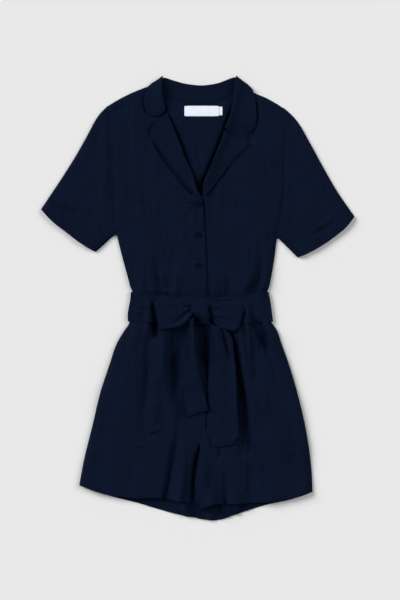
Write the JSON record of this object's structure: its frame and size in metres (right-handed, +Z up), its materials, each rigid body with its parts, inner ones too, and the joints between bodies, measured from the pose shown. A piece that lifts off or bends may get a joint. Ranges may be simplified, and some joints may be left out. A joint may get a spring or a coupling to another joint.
{
  "type": "short-sleeved romper with a notched collar and tied sash, laid flat",
  "caption": "Romper in dark linen, laid flat: notched collar, short sleeves, buttoned front, sash tied in a bow and wide gathered shorts.",
  "frame": {"origin": "middle of the outline, on the surface that the garment lies on", "axes": "+Y towards the neck, +X to the right as seen from above, +Z up from the surface"},
  "size_m": [0.6276, 0.8853, 0.0273],
  "materials": {
    "navy_linen": "matt plain-woven linen",
    "navy_button": "dull, dyed to match",
    "white_tape": "white woven tape"
  },
  "bodies": {
    "root": {"back_bodice": "navy_linen", "front_bodice_left": "navy_linen", "front_bodice_right": "navy_linen", "sleeve_left": "navy_linen", "sleeve_right": "navy_linen", "shorts_front_left": "navy_linen", "shorts_front_right": "navy_linen", "shorts_back_left": "navy_linen", "shorts_back_right": "navy_linen", "collar_back": "navy_linen", "collar_leaf_left": "navy_linen", "collar_leaf_right": "navy_linen", "lapel_left": "navy_linen", "lapel_right": "navy_linen", "belt_band": "navy_linen", "bow_loop_left": "navy_linen", "bow_loop_right": "navy_linen", "bow_knot": "navy_linen", "belt_tail_left": "navy_linen", "belt_tail_right": "navy_linen", "button_1": "navy_button", "button_2": "navy_button", "button_3": "navy_button", "neck_label": "white_tape", "size_tab": "white_tape"}
  },
  "joints": []
}
